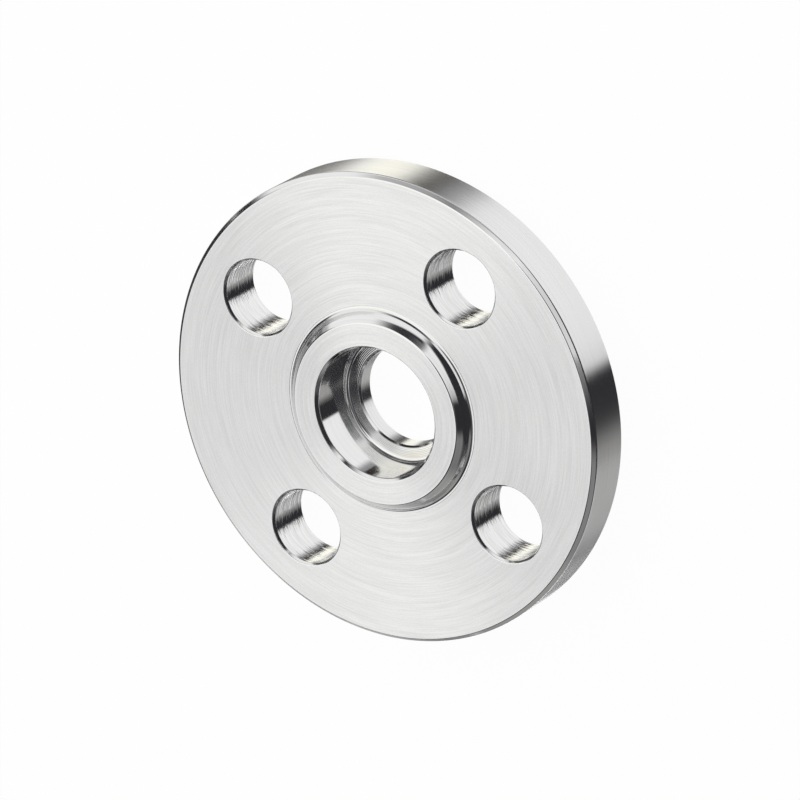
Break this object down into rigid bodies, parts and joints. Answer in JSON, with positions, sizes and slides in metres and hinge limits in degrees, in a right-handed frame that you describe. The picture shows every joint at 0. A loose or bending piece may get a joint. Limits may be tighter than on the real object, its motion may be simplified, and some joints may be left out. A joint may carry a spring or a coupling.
{
  "type": "socket weld flange",
  "caption": "Round steel pipe flange with a short tapered hub, a stepped bore that takes the pipe's end for a fillet weld, a raised gasket face and bolt holes.",
  "frame": {"origin": "centre of the raised face, on the flange's axis, where the part rests", "axes": "+Z along the bore's axis and out of the hub; +X and +Y lie halfway between neighbouring bolt holes"},
  "size_m": [0.1, 0.1, 0.0154],
  "materials": {
    "turned_steel": "bright turned stainless steel with fine concentric tool marks"
  },
  "bodies": {
    "root": {"flange": "turned_steel"}
  },
  "joints": []
}
